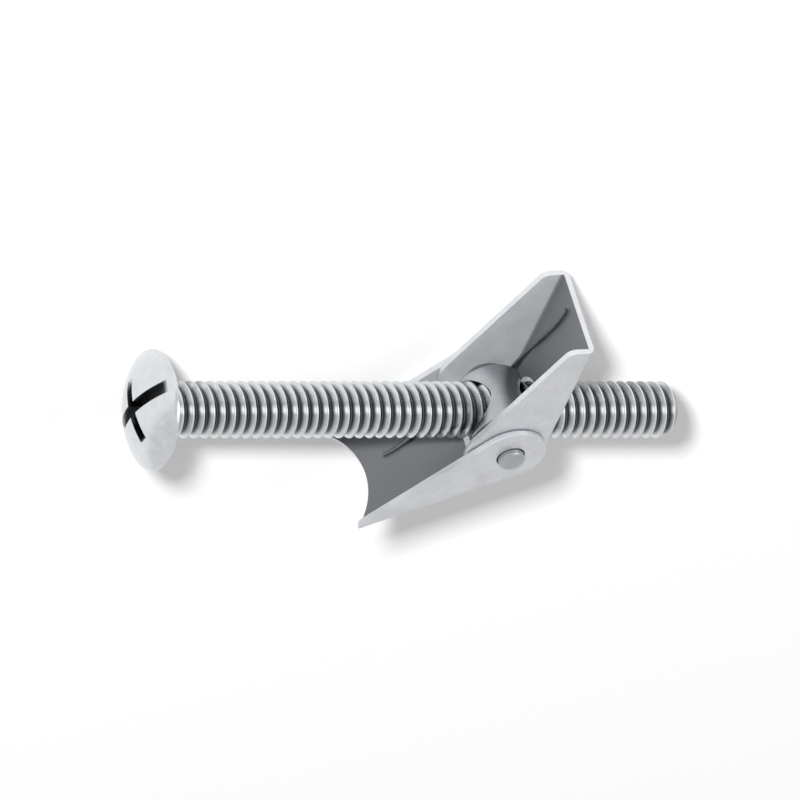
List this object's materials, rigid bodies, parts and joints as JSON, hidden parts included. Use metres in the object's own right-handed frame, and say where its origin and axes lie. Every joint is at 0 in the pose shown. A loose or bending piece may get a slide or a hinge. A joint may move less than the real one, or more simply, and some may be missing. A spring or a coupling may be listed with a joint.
{
  "type": "spring toggle bolt",
  "caption": "Machine screw with a low domed, slotted and cross-recessed head, and a trunnion nut that carries sprung folding channel wings, for fixing to hollow walls.",
  "frame": {"origin": "on the screw's axis, in the flat seat under the head", "axes": "+X along the screw from the head to the tip, +Y towards the wing with the inside ears, +Z along the wings' pivot pins, up as the part lies"},
  "size_m": [0.0663, 0.0321, 0.0146],
  "materials": {
    "screw_zinc": "bright zinc plate on rolled steel",
    "nut_zinc": "zinc plate on turned steel",
    "wing_zinc": "bright zinc plate on pressed steel sheet",
    "spring_wire": "plain drawn spring wire"
  },
  "bodies": {
    "screw_body": {"screw": "screw_zinc"},
    "nut": {"trunnion_nut": "nut_zinc", "spring": "spring_wire"},
    "inner_wing": {"wing_inner": "wing_zinc"},
    "outer_wing": {"wing_outer": "wing_zinc"}
  },
  "joints": [
    {"name": "nut_travel", "type": "slide", "parent": "screw_body", "child": "nut", "axis": [1, 0, 0], "range_m": [-0.022, 0.016]},
    {"name": "wing_inner_fold", "type": "hinge", "parent": "nut", "child": "inner_wing", "pos_m": [0.042, 0, 0], "axis": [0, 0, 1], "range_deg": [-3.5, 86], "stiffness_Nm_per_rad": 0.004, "deforming": ["spring"]},
    {"name": "wing_outer_fold", "type": "hinge", "parent": "nut", "child": "outer_wing", "pos_m": [0.042, 0, 0], "axis": [0, 0, 1], "range_deg": [-33, 53], "stiffness_Nm_per_rad": 0.004, "deforming": ["spring"]}
  ]
}
